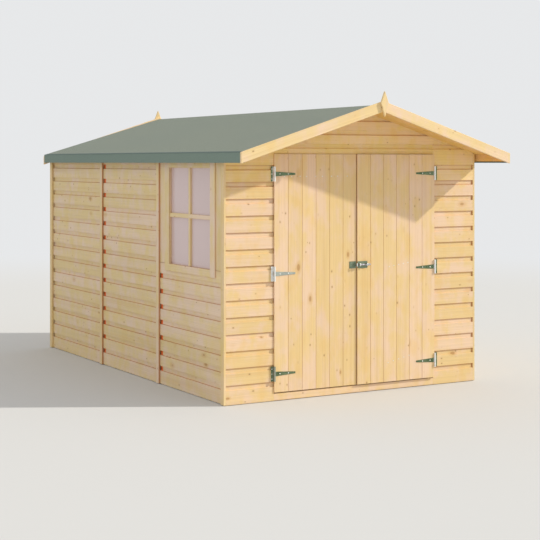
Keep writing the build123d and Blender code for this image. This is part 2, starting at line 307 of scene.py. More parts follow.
figure = bpy.data.node_groups.new("pine_figure", "ShaderNodeTree")
for label, kind in (
    ("Grain", "NodeSocketVector"),
    ("Place", "NodeSocketVector"),
    ("Timber", "NodeSocketFloat"),
    ("Recess", "NodeSocketFloat"),
    ("Straw", "NodeSocketColor"),
    ("Blush", "NodeSocketColor"),
    ("Gold", "NodeSocketColor"),
    ("Late wood", "NodeSocketColor"),
    ("Figure", "NodeSocketFloat"),
):
    figure.interface.new_socket(name=label, in_out="INPUT", socket_type=kind)
for label, kind in (
    ("Colour", "NodeSocketColor"),
    ("Roughness", "NodeSocketFloat"),
    ("Height", "NodeSocketFloat"),
):
    figure.interface.new_socket(name=label, in_out="OUTPUT", socket_type=kind)
ring_count = 620.0
knot_halo_brown = (0.64, 0.38, 0.13, 1)
knot_brown = (0.44, 0.23, 0.08, 1)
pip_halo_brown = (0.56, 0.33, 0.12, 1)
pip_brown = (0.30, 0.15, 0.06, 1)
stain_and_painted_shade_brown = (0.50, 0.185, 0.065, 1)
painted_shade_orange = (0.86, 0.165, 0.035, 1)
given = figure.nodes.new("NodeGroupInput").outputs
knots, knot_halo = knot_field(figure, given["Grain"], (4.5, 9.0, 3.0), share=0.30, size=0.090)
pips, pip_halo = knot_field(figure, given["Grain"], (16.0, 24.0, 9.0), share=0.42, size=0.095)
sway = clouds(figure, given["Grain"], (0.9, 7.0, 7.0))
split = figure.nodes.new("ShaderNodeSeparateXYZ")
figure.links.new(given["Grain"], split.inputs[0])
ring = maths(figure, "ADD", split.outputs[1], maths(figure, "MULTIPLY", sway, 0.045))
ring = maths(figure, "ADD", ring, maths(figure, "MULTIPLY", knot_halo, 0.010))
ring = maths(figure, "MULTIPLY", ring, ring_count)
ring = wired(figure, "ShaderNodeMath", {0: ring}, operation="SINE")
late = soft_step(figure, ring, 0.1, 1.0, 0.0, 0.22)
streaks = clouds(figure, given["Grain"], (2.2, 95.0, 95.0), detail=3.0)
bands = clouds(figure, given["Grain"], (0.55, 24.0, 24.0))
blotches = clouds(figure, given["Grain"], (4.5, 9.0, 9.0), detail=3.0)
weather = clouds(figure, given["Place"], (14.0, 14.0, 7.0), detail=4.0)
flush = maths(figure, "MULTIPLY", given["Timber"], 0.12)
flush = maths(figure, "ADD", flush, maths(figure, "MULTIPLY", blotches, 0.5))
flush = maths(figure, "ADD", flush, maths(figure, "MULTIPLY", weather, 0.5))
colour = blended(figure, soft_step(figure, flush, 0.45, 0.68), given["Straw"], given["Blush"])
sap = clouds(figure, given["Place"], (7.5, 7.5, 4.5), detail=4.0)
colour = blended(figure, soft_step(figure, sap, 0.50, 0.68, 0.0, 0.5), colour, given["Gold"])
late = maths(figure, "ADD", late, soft_step(figure, bands, 0.54, 0.78, 0.0, 0.35))
late = maths(figure, "MULTIPLY", late, given["Figure"])
colour = blended(figure, late, colour, given["Late wood"])
fibre = soft_step(figure, streaks, 0.25, 0.75, 0.955, 1.03)
level = maths(figure, "MULTIPLY", fibre, soft_step(figure, given["Timber"], 0.0, 1.0, 0.975, 1.02))
shade = wired(figure, "ShaderNodeCombineColor", {0: level, 1: level, 2: level})
colour = blended(figure, 1.0, colour, shade, blend_type="MULTIPLY")
colour = blended(figure, maths(figure, "MULTIPLY", knot_halo, 0.45), colour, knot_halo_brown)
colour = blended(figure, maths(figure, "MULTIPLY", knots, 0.65), colour, knot_brown)
colour = blended(figure, maths(figure, "MULTIPLY", pip_halo, 0.25), colour, pip_halo_brown)
colour = blended(figure, maths(figure, "MULTIPLY", pips, 0.6), colour, pip_brown)
# Recess mixes in a brown that is partly a stain on board edges and partly painted shade in the
# cut-backs, turning to a painted shade orange where a cut-back beside an upright strip is filled.
stain_and_painted_shade = blended(figure, soft_step(figure, given["Recess"], 0.8, 1.0), stain_and_painted_shade_brown, painted_shade_orange)
colour = blended(figure, given["Recess"], colour, stain_and_painted_shade)
roughness = soft_step(figure, streaks, 0.3, 0.7, 0.52, 0.68)
height = maths(figure, "ADD", streaks, maths(figure, "MULTIPLY", late, 0.5))
height = maths(figure, "SUBTRACT", height, maths(figure, "MULTIPLY", knots, 0.4))
made = figure.nodes.new("NodeGroupOutput").inputs
figure.links.new(colour, made["Colour"])
figure.links.new(roughness, made["Roughness"])
figure.links.new(height, made["Height"])


def pine_finish(name, straw, blush, gold, late_wood, figure_strength, relief):
    """Bare pine: the shared figure with this finish's own colours."""
    material, tree = empty_material(name)
    grain = wired(tree, "ShaderNodeAttribute", {}, output="Vector", attribute_name="grain")
    place = wired(tree, "ShaderNodeTexCoord", {}, output="Object")
    timber = wired(tree, "ShaderNodeAttribute", {}, output="Fac", attribute_name="timber")
    recess = wired(tree, "ShaderNodeAttribute", {}, output="Fac", attribute_name="recess")
    group = tree.nodes.new("ShaderNodeGroup")
    group.node_tree = figure
    for socket, value in (("Grain", grain), ("Place", place), ("Timber", timber), ("Recess", recess)):
        tree.links.new(value, group.inputs[socket])
    group.inputs["Straw"].default_value = straw
    group.inputs["Blush"].default_value = blush
    group.inputs["Gold"].default_value = gold
    group.inputs["Late wood"].default_value = late_wood
    group.inputs["Figure"].default_value = figure_strength
    bump = wired(
        tree,
        "ShaderNodeBump",
        {"Height": group.outputs["Height"], "Strength": relief, "Distance": 0.001},
    )
    shader = wired(
        tree,
        "ShaderNodeBsdfPrincipled",
        {
            "Base Color": group.outputs["Colour"],
            "Roughness": group.outputs["Roughness"],
            "Specular IOR Level": 0.3,
            "Normal": bump,
        },
    )
    show(tree, shader)
    return material


planed_pine = pine_finish(
    "planed_pine",
    straw=(0.815, 0.597, 0.285, 1),
    blush=(0.835, 0.612, 0.425, 1),
    gold=(0.810, 0.550, 0.215, 1),
    late_wood=(0.70, 0.44, 0.17, 1),
    figure_strength=0.8,
    relief=0.25,
)
sawn_pine = pine_finish(
    "sawn_pine",
    straw=(0.74, 0.535, 0.285, 1),
    blush=(0.75, 0.53, 0.34, 1),
    gold=(0.73, 0.500, 0.200, 1),
    late_wood=(0.60, 0.38, 0.16, 1),
    figure_strength=1.0,
    relief=0.6,
)
body_of_node = {
    node: body
    for body, nodes in frame["record"]["behaviour"]["bodies"].items()
    for node in nodes
}


def fit(piece, finish, slot, nodes, along=None):
    """Finish a piece and set it on the body of the nodes it stands for."""
    if "grain" not in piece.data.attributes and slot in ("pine", "treated_timber"):
        lay_grain(piece, along)
    piece.data.materials.clear()
    piece.data.materials.append(finish)
    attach(piece, body_of_node[nodes[0]])
    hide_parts(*nodes)


def stain_and_shade_edges(piece, facing, share):
    """Darken the edges of boards, partly with a stain and partly with painted shade, and leave their
    broad faces, which look along facing, pale.
    """
    squarely = 0.9
    shares = [share] * len(piece.data.vertices)
    for face in piece.data.polygons:
        if abs(face.normal.dot(Vector(facing))) > squarely:
            for point in face.vertices:
                shares[point] = 0.0
    store(piece, "recess", shares)


def dress(node, name, arris, finish=planed_pine, slot="pine", along=None, facing=None, stain_and_painted_shade=0.0):
    """A node's own timbers with eased edges and the grain along them."""
    piece = whole_copy(node, name)
    ease_edges(piece, arris)
    if facing:
        stain_and_shade_edges(piece, facing, stain_and_painted_shade)
    fit(piece, finish, slot, [node], along)


def mark(piece, kind, test):
    """In edit mode, select the points, edges or faces that pass a test, and nothing else."""
    alone(piece)
    bpy.ops.object.mode_set(mode="EDIT")
    bpy.ops.mesh.select_mode(type=kind)
    shape = bmesh.from_edit_mesh(piece.data)
    for part in list(shape.faces) + list(shape.edges) + list(shape.verts):
        part.select = False
    for part in {"VERT": shape.verts, "EDGE": shape.edges, "FACE": shape.faces}[kind]:
        if test(part):
            part.select_set(True)
    bmesh.update_edit_mesh(piece.data)


def slide(piece, test, step):
    """Move the points that pass a test."""
    mark(piece, "VERT", test)
    bpy.ops.transform.translate(value=step)
    bpy.ops.object.mode_set(mode="OBJECT")


batten_arris = 0.0015
on_face = 0.001
on_edge = 0.0005
sill_lift = 0.005
dress("floor_bearers", "bearers", batten_arris, sawn_pine, "treated_timber")
sill = whole_copy("door_sill", "sill_board")
sill_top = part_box("door_sill")[1].z
slide(sill, lambda point: point.co.z > sill_top - on_face, (0, 0, sill_lift))
ease_edges(sill, batten_arris)
fit(sill, planed_pine, "treated_timber", ["door_sill"])


# Deck: sawn pine boards laid along the shed and tongued together. Their upper edges are chamfered, so
# each joint shows as a fine groove.
def plank(low, high, name):
    """A square-edged plank between two corners."""
    low, high = Vector(low), Vector(high)
    bpy.ops.object.select_all(action="DESELECT")
    bpy.ops.mesh.primitive_cube_add(size=1, location=(low + high) / 2, scale=high - low)
    board = bpy.context.object
    board.name = name
    bpy.ops.object.transform_apply(location=True, rotation=True, scale=True)
    return board


def chamfer(piece, test, width):
    """Plane a flat chamfer along the edges that pass a test."""
    mark(piece, "EDGE", test)
    bpy.ops.mesh.bevel(offset=width, segments=1, affect="EDGES")
    bpy.ops.object.mode_set(mode="OBJECT")


def repeat(piece, count, step):
    """Set copies of a piece one after another."""
    alone(piece)
    row = piece.modifiers.new("row", "ARRAY")
    row.count = count
    row.use_relative_offset = False
    row.use_constant_offset = True
    row.constant_offset_displace = step
    bpy.ops.object.modifier_apply(modifier="row")


def middle_of(edge):
    """The point half way along an edge."""
    return (edge.verts[0].co + edge.verts[1].co) / 2


deck_low, deck_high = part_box("floor_deck")
deck_boards = 18
board_gap = 0.0006
near_middle = 0.1
deck_chamfer = 0.002
deck_board_width = (deck_high.x - deck_low.x) / deck_boards
first_board_end = deck_low.x + deck_board_width - board_gap
deck = plank(deck_low, (first_board_end, deck_high.y, deck_high.z), "deck_boards")
chamfer(
    deck,
    lambda edge: middle_of(edge).z > deck_high.z - on_face and abs(middle_of(edge).y) < near_middle,
    deck_chamfer,
)
repeat(deck, deck_boards, (deck_board_width, 0, 0))
fit(deck, sawn_pine, "pine", ["floor_deck"])

# Wall frames: sawn pine rails on the deck and under the roof, with studs between them, seen from inside
# and through the open doors.
stud_arris = 0.0012
for node, name in (
    ("side_wall_rails", "side_rails"),
    ("side_wall_studs", "side_studs"),
    ("end_wall_rails", "end_rails"),
    ("end_wall_studs", "end_studs"),
    ("door_posts", "posts"),
    ("door_head", "head"),
    ("window_cill_rail", "cill_rail"),
):
    dress(node, name, stud_arris, sawn_pine)

# Front wall: shiplap boards each side of the doorway. The foot of each board stands over the cut-back
# upper edge of the board below, which leaves a shadow line along every joint. Painted shade darkens the
# ledges of the cut-backs high up and the tops of the cut-backs under each board's foot, and the boards
# high up, under the roof, take a copy of the finish with warm bounce light painted in.
rebate_depth = 0.0090
rebate_height = 0.0335
board_pitch = 0.110
first_rebate = 0.096
joint_slack = 0.0003
roof_pitch = math.radians(16.6)
eaves_height = 1.645
shoulder = 1.008
wall_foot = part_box("front_wall_left")[0].z
ledge_rise = 0.002
# Heights above each cut-back's foot, and how much painted shade each row of points takes.
painted_shade_rows = ((-0.001, 0.0), (0.0, 0.5), (ledge_rise, 0.7), (0.005, 0.0), (0.021, 0.0))


def bisect(piece, point, normal, remove=False):
    """Cut a piece by a plane, and where asked take away the side that the normal points to."""
    alone(piece)
    bpy.ops.object.mode_set(mode="EDIT")
    bpy.ops.mesh.select_all(action="SELECT")
    bpy.ops.mesh.bisect(plane_co=point, plane_no=normal, use_fill=remove, clear_outer=remove)
    bpy.ops.object.mode_set(mode="OBJECT")


def trim_to_roof(piece):
    """Cut the tops of boards to the underside of both slopes."""
    for side in (-1, 1):
        normal = (side * math.sin(roof_pitch), 0, math.cos(roof_pitch))
        bisect(piece, (side * shoulder, 0, eaves_height), normal, remove=True)


def shiplap(low, high, outward, rebate_foot, name):
    """One board whose upper edge is cut back on its outer face, from rebate_foot to its top."""
    board = plank(low, high, name)
    outward = Vector(outward)
    centre = (Vector(low) + Vector(high)) / 2
    for rise, _ in painted_shade_rows:
        bisect(board, (0, 0, rebate_foot + rise), (0, 0, 1))
    slide(
        board,
        lambda point: (point.co - centre).dot(outward) > 0 and point.co.z > rebate_foot + on_face,
        -outward * rebate_depth,
    )
    return board


def paint_recess_shade(wall, outward, rebates, strength, under=0.0, corners=(), corner_share=1.0):
    """Painted shade on the ledge of each cut-back, and filling the cut-back where it meets an upright
    strip.

    Strength gives the painted shade on the ledge at a height, and under is the painted shadow below the
    next board's foot. Corners are the spans beside upright strips, measured across the wall.
    """
    near = 0.0002
    outward = Vector(outward)
    face = max(point.co.dot(outward) for point in wall.data.vertices)
    across = Vector((abs(outward.y), abs(outward.x), 0))
    shares = []
    for point in wall.data.vertices:
        share = 0.0
        place = point.co.dot(across)
        depth = face - point.co.dot(outward)
        outside = depth < rebate_depth + on_face
        for rebate_foot in rebates if outside else ():
            rise = point.co.z - rebate_foot
            for row, full in painted_shade_rows:
                if abs(rise - row) < near:
                    share = full * strength(rebate_foot)
            cut_back = depth > rebate_depth / 2 and ledge_rise - near < rise < rebate_height + near
            if cut_back and rise > rebate_height - near:
                share = under
            if cut_back and any(start - near / 2 < place < end + near / 2 for start, end in corners):
                share = corner_share
        shares.append(share)
    store(wall, "recess", shares)


def joined(pieces, name):
    """Several pieces as one."""
    alone(pieces[0])
    for piece in pieces:
        piece.select_set(True)
    if len(pieces) > 1:
        bpy.ops.object.join()
    pieces[0].name = name
    return pieces[0]


def shiplap_wall(low, high, outward, name, rebates):
    """Boards from the foot of a wall to the roof. Each cut-back begins at one of the rebates."""
    low, high = Vector(low), Vector(high)
    boards = []
    foot = low.z - joint_slack
    for rebate_foot in rebates:
        top = rebate_foot + rebate_height
        if foot < high.z:
            corners = ((low.x, low.y, foot + joint_slack), (high.x, high.y, top))
            boards.append(shiplap(*corners, outward, rebate_foot, name))
        foot = top
    wall = joined(boards, name)
    if high.z < eaves_height:
        bisect(wall, (0, 0, high.z), (0, 0, 1), remove=True)
    trim_to_roof(wall)
    return wall


gable_rebates = [1.6695, 1.763, 1.8565, 1.950]
wall_rebates = [first_rebate + board_pitch * index for index in range(15)]
front_rebates = wall_rebates[:14] + gable_rebates
painted_corner_shade = 0.009
painted_shade_fade = 0.0015
ledge_shade = 0.9
sunlit_below = 1.39


def front_ledge_shade(height):
    """Painted shade on the ledges high up, in the shadow of the roof's overhang, except the one over
    the doors.
    """
    return ledge_shade if height > sunlit_below and height != gable_rebates[0] else 0.0


# A warmer copy of the planed finish with the warm bounce light under the roof painted in, for the gable
# and the front boards high up.
painted_bounce_from = 1.4497
painted_bounce_pine = pine_finish(
    "painted_bounce_pine",
    straw=(0.880, 0.670, 0.260, 1),
    blush=(0.905, 0.680, 0.400, 1),
    gold=(0.870, 0.600, 0.185, 1),
    late_wood=(0.74, 0.45, 0.16, 1),
    figure_strength=0.9,
    relief=0.25,
)
for node, name in (
    ("front_wall_left", "front_boards_left"),
    ("front_wall_right", "front_boards_right"),
):
    low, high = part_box(node)
    wall = shiplap_wall(low, high, (0, -1, 0), name, front_rebates)
    # The right wall's cut-backs beside the corner strip are filled with painted shade.
    corner = [(high.x - painted_corner_shade, high.x)] if high.x > 0 else []
    for start, end in corner:
        bisect(wall, (start, 0, 0), (1, 0, 0))
        bisect(wall, (start - painted_shade_fade, 0, 0), (1, 0, 0))
    paint_recess_shade(
        wall, (0, -1, 0), front_rebates, front_ledge_shade, under=0.5, corners=corner, corner_share=0.75
    )
    fit(wall, planed_pine, "pine", [node])
    wall.data.materials.append(painted_bounce_pine)
    for face in wall.data.polygons:
        if face.center.z > painted_bounce_from:
            face.material_index = 1
gable_drop = 0.001
low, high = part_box("front_gable")
gable_foot = low - Vector((0, 0, gable_drop))
gable = shiplap_wall(gable_foot, high, (0, -1, 0), "gable_boards", gable_rebates)
paint_recess_shade(gable, (0, -1, 0), gable_rebates, front_ledge_shade)
fit(gable, painted_bounce_pine, "pine", ["front_gable"])

# Side and rear walls: the same boards in panels that meet with a fine gap. The boards of the rear wall
# stop short of the corners, so the cut-backs of the side walls run out past them.
panel_gap = 0.00075
panel_joints = (-0.567, 0.473)
rear_board_end = 1.0
low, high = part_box("right_wall_panels")
panel_ends = [(low.y, panel_joints[0]), panel_joints, (panel_joints[1], high.y)]
gaps = [(0.0, panel_gap), (panel_gap, panel_gap), (panel_gap, 0.0)]
strip_width = 0.044
joint_lap = strip_width / 2 - panel_gap
strip_laps = (joint_lap, joint_lap, strip_width)
strip_shade_width = 0.026
wall_board_thickness = 0.012


def side_ledge_shade(height):
    """Painted shade on the side and rear ledges, from foot to top."""
    return ledge_shade


# A paler, cooler copy of the planed finish with the cool light of the shaded side wall painted in; it
# serves all walls but the front, and the window, bars and strips.
painted_cool_shade_pine = pine_finish(
    "painted_cool_shade_pine",
    straw=(0.810, 0.635, 0.325, 1),
    blush=(0.835, 0.650, 0.490, 1),
    gold=(0.800, 0.600, 0.255, 1),
    late_wood=(0.67, 0.45, 0.20, 1),
    figure_strength=0.8,
    relief=0.25,
)


def side_panel(index, side, top):
    """One panel of a side wall, with painted shade in the cut-backs beside the strip over its rear
    joint.
    """
    start, end = panel_ends[index]
    start, end = start + gaps[index][0], end - gaps[index][1]
    x_low, x_high = sorted((side * shoulder, side * (shoulder - wall_board_thickness)))
    corners = ((x_low, start, wall_foot), (x_high, end, top))
    panel = shiplap_wall(*corners, (side, 0, 0), f"panel_{index}", wall_rebates)
    strip_edge = end - strip_laps[index]
    shade_start = strip_edge - strip_shade_width
    for place in (strip_edge, shade_start, shade_start - painted_shade_fade):
        bisect(panel, (0, place, 0), (0, 1, 0))
    corner = [(shade_start, strip_edge)] if index < 2 else []
    paint_recess_shade(panel, (side, 0, 0), wall_rebates, side_ledge_shade, corners=corner)
    return panel


right_panels = [side_panel(index, 1, high.z) for index in range(3)]
fit(joined(right_panels, "right_boards"), painted_cool_shade_pine, "pine", ["right_wall_panels"], (0, 1, 0))
left_panels = [side_panel(index, -1, high.z) for index in (1, 2)]
fit(joined(left_panels, "left_boards"), painted_cool_shade_pine, "pine", ["left_wall_panels"], (0, 1, 0))
below_window_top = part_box("window_wall_below")[1].z
below = side_panel(0, -1, below_window_top)
below.name = "boards_below_window"
fit(below, painted_cool_shade_pine, "pine", ["window_wall_below"], (0, 1, 0))
low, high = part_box("rear_wall_panels")
rear_rebates = wall_rebates + gable_rebates[1:]
rear_panels = []
for start, end in ((-rear_board_end, -panel_gap), (panel_gap, rear_board_end)):
    corners = ((start, low.y, wall_foot), (end, high.y, high.z))
    panel = shiplap_wall(*corners, (0, 1, 0), "rear_panel", rear_rebates)
    paint_recess_shade(panel, (0, 1, 0), wall_rebates, side_ledge_shade)
    rear_panels.append(panel)
fit(joined(rear_panels, "rear_boards"), painted_cool_shade_pine, "pine", ["rear_wall_panels"], (1, 0, 0))

# Window: plain upright boards beside the opening, a planed casing nailed over them, a pane of acrylic
# glazing whose pinkish colour is a painted reflection of the sky, and a cross of thin bars pinned in
# front of it.
plain_board_arris = 0.0008
casing_arris = 0.0015
casing_edge_stain_and_shade = 0.25
for node, name, arris, along in (
    ("window_wall_beside", "boards_beside_window", plain_board_arris, (0, 0, 1)),
    ("window_wall_above", "board_above_window", plain_board_arris, (0, 1, 0)),
    ("window_stiles", "casing_stiles", casing_arris, None),
    ("window_rails", "casing_rails", casing_arris, None),
):
    # The casing's edges are darkened a little, partly by stain and partly with painted shade.
    dress(node, name, arris, painted_cool_shade_pine, "pine", along, (1, 0, 0), casing_edge_stain_and_shade)

# The pane's pinkish tints are a painted reflection of the sky.
painted_reflection_dusky = (0.77, 0.610, 0.590, 1)
painted_reflection_pale = (0.80, 0.630, 0.610, 1)
pane_arris = 0.0005
glazing, tree = empty_material("glazing")
place = wired(tree, "ShaderNodeTexCoord", {}, output="Object")
reflection_clouds = clouds(tree, place, (2.0, 2.0, 1.2), detail=1.0)
painted_reflection = blended(tree, soft_step(tree, reflection_clouds, 0.3, 0.7), painted_reflection_dusky, painted_reflection_pale)
shader = wired(
    tree,
    "ShaderNodeBsdfPrincipled",
    {"Base Color": painted_reflection, "Roughness": 0.08, "IOR": 1.49, "Transmission Weight": 0.12},
)
show(tree, shader)
pane = whole_copy("window_glass", "pane")
ease_edges(pane, pane_arris)
fit(pane, glazing, "glazing", ["window_glass"])

rail_width = 0.050
rail_low, rail_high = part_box("window_rails")
opening_foot = rail_low.z + rail_width
opening_head = rail_high.z - rail_width
bar_depth = 0.013
bar_half = 0.0145
bar_chamfer = 0.0015
bar_edge_stain_and_shade = 0.3
cross_proud = 0.0015
upright_middle = -1.0565
cross_middle = 1.2105
bar_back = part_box("window_glass")[0].x
bar_face = bar_back - bar_depth
for name, face, start, end in (
    (
        "window_bar_upright",
        bar_face,
        (upright_middle - bar_half, opening_foot),
        (upright_middle + bar_half, opening_head),
    ),
    (
        "window_bar_cross",
        bar_face - cross_proud,
        (rail_low.y, cross_middle - bar_half),
        (rail_high.y, cross_middle + bar_half),
    ),
):
    bar = plank((face, *start), (bar_back, *end), name)
    chamfer(bar, lambda edge: middle_of(edge).x < face + on_edge, bar_chamfer)
    # The sides of the bars are darkened, partly by stain and partly with painted shade.
    stain_and_shade_edges(bar, (1, 0, 0), bar_edge_stain_and_shade)
    lay_grain(bar)
    bar.data.materials.append(painted_cool_shade_pine)
    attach(bar, "shed")

# Cover strips: planed battens nailed over the panel joints and the corners of the side walls. The sawn
# edges of those on the joints are darker than their faces, partly the wood's own colour and partly
# painted shade.
strip_arris = 0.0012
dress("joint_strips", "joint_covers", strip_arris, painted_cool_shade_pine, facing=(1, 0, 0), stain_and_painted_shade=0.75)
corner_pine = pine_finish(
    "corner_pine",
    straw=(0.80, 0.615, 0.290, 1),
    blush=(0.82, 0.615, 0.360, 1),
    gold=(0.80, 0.580, 0.220, 1),
    late_wood=(0.70, 0.45, 0.17, 1),
    figure_strength=0.8,
    relief=0.25,
)
dress("corner_strips", "corner_covers", strip_arris, corner_pine)

# Roof timbers: a ridge beam and two purlins carry boards that run down each slope, with the joints
# between them chamfered underneath, and a planed board closes each eave. The felt is turned back under
# the foot of that board.
dress("ridge_beam", "ridge_timber", batten_arris, sawn_pine)
dress("roof_purlins", "purlins", batten_arris, sawn_pine)
# A deeper orange copy of the finish with the warm bounce light under the roof painted in, for the roof
# boards and the eaves boards.
painted_bounce_soffit_pine = pine_finish(
    "painted_bounce_soffit_pine",
    straw=(0.870, 0.575, 0.175, 1),
    blush=(0.895, 0.580, 0.265, 1),
    gold=(0.860, 0.515, 0.125, 1),
    late_wood=(0.72, 0.39, 0.11, 1),
    figure_strength=0.9,
    relief=0.25,
)
roof_board_count = 36
roof_board_thickness = 0.012
spare_length = 0.03
soffit_chamfer = 0.0025
low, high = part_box("roof_boards_right")
roof_board_width = (high.y - low.y) / roof_board_count
run_middle = high.x / 2
underside_middle = eaves_height + math.tan(roof_pitch) * (shoulder - run_middle)
lift = roof_board_thickness / 2
slope_length = high.x / math.cos(roof_pitch) + spare_length
for side, node, name in (
    (1, "roof_boards_right", "slope_boards_right"),
    (-1, "roof_boards_left", "slope_boards_left"),
):
    centre = Vector((
        side * (run_middle + lift * math.sin(roof_pitch)),
        low.y + roof_board_width / 2,
        underside_middle + lift * math.cos(roof_pitch),
    ))
    bpy.ops.object.select_all(action="DESELECT")
    bpy.ops.mesh.primitive_cube_add(
        size=1,
        location=centre,
        rotation=(0, side * roof_pitch, 0),
        scale=(slope_length, roof_board_width - board_gap, roof_board_thickness),
    )
    slope = bpy.context.object
    slope.name = name
    bpy.ops.object.transform_apply(location=True, rotation=True, scale=True)
    bisect(slope, (0, 0, 0), (-side, 0, 0), remove=True)
    bisect(slope, (side * high.x, 0, 0), (side, 0, 0), remove=True)
    chamfer(
        slope,
        lambda edge: abs(middle_of(edge).x - side * run_middle) < near_middle
        and middle_of(edge).z < centre.z + side * (centre.x - middle_of(edge).x) * math.tan(roof_pitch),
        soffit_chamfer,
    )
    repeat(slope, roof_board_count, (0, roof_board_width, 0))
    fit(slope, painted_bounce_soffit_pine, "pine", [node])

eaves = whole_copy("eaves_boards", "eave_timbers")
eaves_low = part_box("eaves_boards")[0].z
return_height = 0.009
slide(eaves, lambda point: point.co.z < eaves_low + on_face, (0, 0, return_height))
ease_edges(eaves, batten_arris)
fit(eaves, painted_bounce_soffit_pine, "pine", ["eaves_boards"])

# Roofing felt: green mineral felt over both slopes, folded down over the eaves boards and turned back
# under them. Painted shade darkens the folds and the part turned back under the boards, and the stone
# chips are worn thin in faint patches.
chip_green = (0.190, 0.220, 0.175, 1)
pale_chip_green = (0.275, 0.305, 0.255, 1)
pale_chip = (0.36, 0.40, 0.36, 1)
dark_chip = (0.10, 0.13, 0.11, 1)
worn_green = (0.265, 0.285, 0.225, 1)
flap_green = (0.175, 0.275, 0.240, 1)
painted_fold_shade_green = (0.095, 0.135, 0.125, 1)
chips, tree = empty_material("mineral_felt")
place = wired(tree, "ShaderNodeTexCoord", {}, output="Object")
speckle = wired(tree, "ShaderNodeTexNoise", {"Vector": place, "Scale": 420.0, "Detail": 3.0})
patches = clouds(tree, place, (1.6, 0.7, 1.6), detail=3.0)
scatter = wired(tree, "ShaderNodeTexVoronoi", {"Vector": place, "Scale": 520.0}, output="Color")
fold = wired(tree, "ShaderNodeAttribute", {}, output="Fac", attribute_name="fold")
colour = blended(tree, soft_step(tree, speckle, 0.35, 0.65), chip_green, pale_chip_green)
grains = tree.nodes.new("ShaderNodeSeparateColor")
tree.links.new(scatter, grains.inputs[0])
colour = blended(tree, soft_step(tree, grains.outputs[0], 0.80, 0.95, 0.0, 0.5), colour, pale_chip)
colour = blended(tree, soft_step(tree, grains.outputs[1], 0.84, 0.97, 0.0, 0.5), colour, dark_chip)
colour = blended(tree, soft_step(tree, patches, 0.35, 0.7, 0.0, 0.25), colour, worn_green)
colour = blended(tree, soft_step(tree, fold, 0.0, 0.4, 0.0, 0.5), colour, flap_green)
# Painted shade in the folds and on the felt turned back under the boards.
colour = blended(tree, soft_step(tree, fold, 0.4, 1.0), colour, painted_fold_shade_green)
bump = wired(tree, "ShaderNodeBump", {"Height": speckle, "Strength": 0.5, "Distance": 0.0008})
shader = wired(
    tree,
    "ShaderNodeBsdfPrincipled",
    {
        "Base Color": colour,
        "Roughness": soft_step(tree, speckle, 0.3, 0.7, 0.75, 0.95),
        "Specular IOR Level": 0.25,
        "Normal": bump,
    },
)
show(tree, shader)

fold_width = 0.022
fold_fade = 0.002
painted_fold_shade = 0.9
felt_arris = 0.0008
for side, node, name in ((-1, "roof_felt_left", "felt_left"), (1, "roof_felt_right", "felt_right")):
    sheet = whole_copy(node, name)
    fold_start = abs(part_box(node)[0 if side < 0 else 1].x) - fold_width
    for place in (fold_start, fold_start - fold_fade):
        bisect(sheet, (side * place, 0, 0), (1, 0, 0))
    ease_edges(sheet, felt_arris)
    in_fold = [abs(point.co.x) > fold_start - on_edge for point in sheet.data.vertices]
    store(sheet, "fold", [painted_fold_shade if folded else 0.0 for folded in in_fold])
    fit(sheet, chips, "felt", [node])

flap_low, flap_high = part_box("eaves_felt")
eaves_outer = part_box("eaves_boards")[1].x
lip = 0.003
lip_rise = 0.001
lip_proud = 0.0012
return_width = 0.028
return_start = eaves_outer - 0.02
painted_return_shade = 1.0
flap_dark = 0.4
flaps = []
for side in (-1, 1):
    x_low, x_high = sorted((side * flap_high.x, side * eaves_outer))
    flap = plank((x_low, flap_low.y, flap_low.z), (x_high, flap_high.y, flap_high.z), "flap")
    for height in (flap_low.z + return_height, flap_high.z - lip, flap_high.z - lip - lip_rise):
        bisect(flap, (0, 0, height), (0, 0, 1))
    mark(
        flap,
        "FACE",
        lambda face: side * face.normal.x < -0.5
        and face.calc_center_median().z < flap_low.z + return_height,
    )
    bpy.ops.mesh.extrude_region_move(
        TRANSFORM_OT_translate={"value": (-side * return_width, 0, 0)}
    )
    bpy.ops.object.mode_set(mode="OBJECT")
    slide(
        flap,
        lambda point: side * point.co.x > flap_high.x - on_edge
        and point.co.z < flap_high.z - lip - on_edge,
        (-side * lip_proud, 0, 0),
    )
    flaps.append(flap)
felt_flaps = joined(flaps, "felt_flaps")


def flap_tint_and_painted_shade(co):
    """Painted shade along the top fold and on the part turned back under the board, and the flap's own
    tint elsewhere.
    """
    if co.z > flap_high.z - on_face:
        return painted_fold_shade
    return painted_return_shade if abs(co.x) < return_start else flap_dark


store(felt_flaps, "fold", [flap_tint_and_painted_shade(point.co) for point in felt_flaps.data.vertices])
fit(felt_flaps, chips, "felt", ["eaves_felt"])

# Barge boards and finials: planed boards nailed across both ends of the roof, and a pointed finial
# sawn from the same board over each meeting.
barge_pine = pine_finish(
    "barge_pine",
    straw=(0.880, 0.665, 0.340, 1),
    blush=(0.900, 0.665, 0.470, 1),
    gold=(0.880, 0.610, 0.240, 1),
    late_wood=(0.75, 0.49, 0.20, 1),
    figure_strength=0.7,
    relief=0.25,
)
barge_arris = 0.0018
dress("barge_boards_left", "barges_left", barge_arris, barge_pine)
dress("barge_boards_right", "barges_right", barge_arris, barge_pine)
dress("finials", "finial_points", barge_arris, barge_pine, along=(0, 0, 1))

